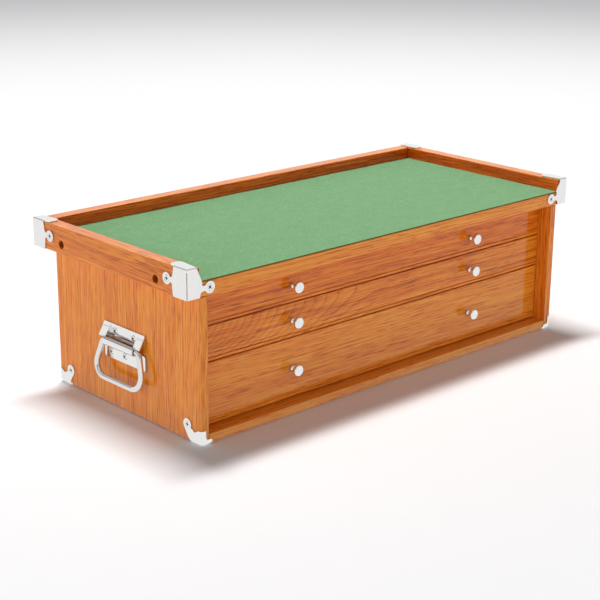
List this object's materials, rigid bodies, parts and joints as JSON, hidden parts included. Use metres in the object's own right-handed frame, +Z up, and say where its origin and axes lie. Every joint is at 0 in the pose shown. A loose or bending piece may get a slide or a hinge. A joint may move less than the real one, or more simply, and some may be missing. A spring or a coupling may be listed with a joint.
{
  "type": "tool chest riser",
  "caption": "Low oak drawer cabinet with a felt-lined tray top, raised rim, plated corner caps and drop handles, made to stand under a tool chest.",
  "frame": {"origin": "on the floor, under the middle of the whole riser", "axes": "+X to the right along the drawers, -Y out of the drawer fronts, +Z up"},
  "size_m": [0.647, 0.292, 0.207],
  "materials": {
    "oak": "satin amber varnish over open oak grain",
    "drawer_wood": "plain sanded hardwood",
    "green_felt": "matt pressed felt",
    "bright_plating": "bright nickel plating on pressed steel"
  },
  "bodies": {
    "case": {"case_left_side": "oak", "case_right_side": "oak", "case_bottom": "oak", "case_back": "oak", "deck_board": "oak", "front_rail": "oak", "deck_felt": "green_felt", "rim_left": "oak", "rim_right": "oak", "rim_back": "oak", "top_cap_front_left": "bright_plating", "top_cap_front_right": "bright_plating", "top_cap_rear_left": "bright_plating", "top_cap_rear_right": "bright_plating", "foot_cap_front_left": "bright_plating", "foot_cap_front_right": "bright_plating", "foot_cap_rear_left": "bright_plating", "foot_cap_rear_right": "bright_plating", "handle_plate_left": "bright_plating", "handle_plate_right": "bright_plating", "runner_top_left": "drawer_wood", "runner_top_right": "drawer_wood", "runner_middle_left": "drawer_wood", "runner_middle_right": "drawer_wood", "runner_bottom_left": "drawer_wood", "runner_bottom_right": "drawer_wood"},
    "drawer_top": {"drawer_top_front": "oak", "drawer_top_left_side": "drawer_wood", "drawer_top_right_side": "drawer_wood", "drawer_top_back": "drawer_wood", "drawer_top_bottom": "drawer_wood", "drawer_top_felt": "green_felt", "knob_top_left": "bright_plating", "knob_top_right": "bright_plating"},
    "drawer_middle": {"drawer_middle_front": "oak", "drawer_middle_left_side": "drawer_wood", "drawer_middle_right_side": "drawer_wood", "drawer_middle_back": "drawer_wood", "drawer_middle_bottom": "drawer_wood", "drawer_middle_felt": "green_felt", "knob_middle_left": "bright_plating", "knob_middle_right": "bright_plating"},
    "drawer_bottom": {"drawer_bottom_front": "oak", "drawer_bottom_left_side": "drawer_wood", "drawer_bottom_right_side": "drawer_wood", "drawer_bottom_back": "drawer_wood", "drawer_bottom_bottom": "drawer_wood", "drawer_bottom_felt": "green_felt", "knob_bottom_left": "bright_plating", "knob_bottom_right": "bright_plating"},
    "bail_left": {"handle_bail_left": "bright_plating"},
    "bail_right": {"handle_bail_right": "bright_plating"}
  },
  "joints": [
    {"name": "drawer_top_slide", "type": "slide", "parent": "case", "child": "drawer_top", "axis": [0, -1, 0], "range_m": [0, 0.19]},
    {"name": "drawer_middle_slide", "type": "slide", "parent": "case", "child": "drawer_middle", "axis": [0, -1, 0], "range_m": [0, 0.19]},
    {"name": "drawer_bottom_slide", "type": "slide", "parent": "case", "child": "drawer_bottom", "axis": [0, -1, 0], "range_m": [0, 0.19]},
    {"name": "bail_left_hinge", "type": "hinge", "parent": "case", "child": "bail_left", "pos_m": [-0.312, -0.0085, 0.083], "axis": [0, 1, 0], "range_deg": [0, 82]},
    {"name": "bail_right_hinge", "type": "hinge", "parent": "case", "child": "bail_right", "pos_m": [0.312, -0.0085, 0.083], "axis": [0, -1, 0], "range_deg": [0, 82]}
  ]
}
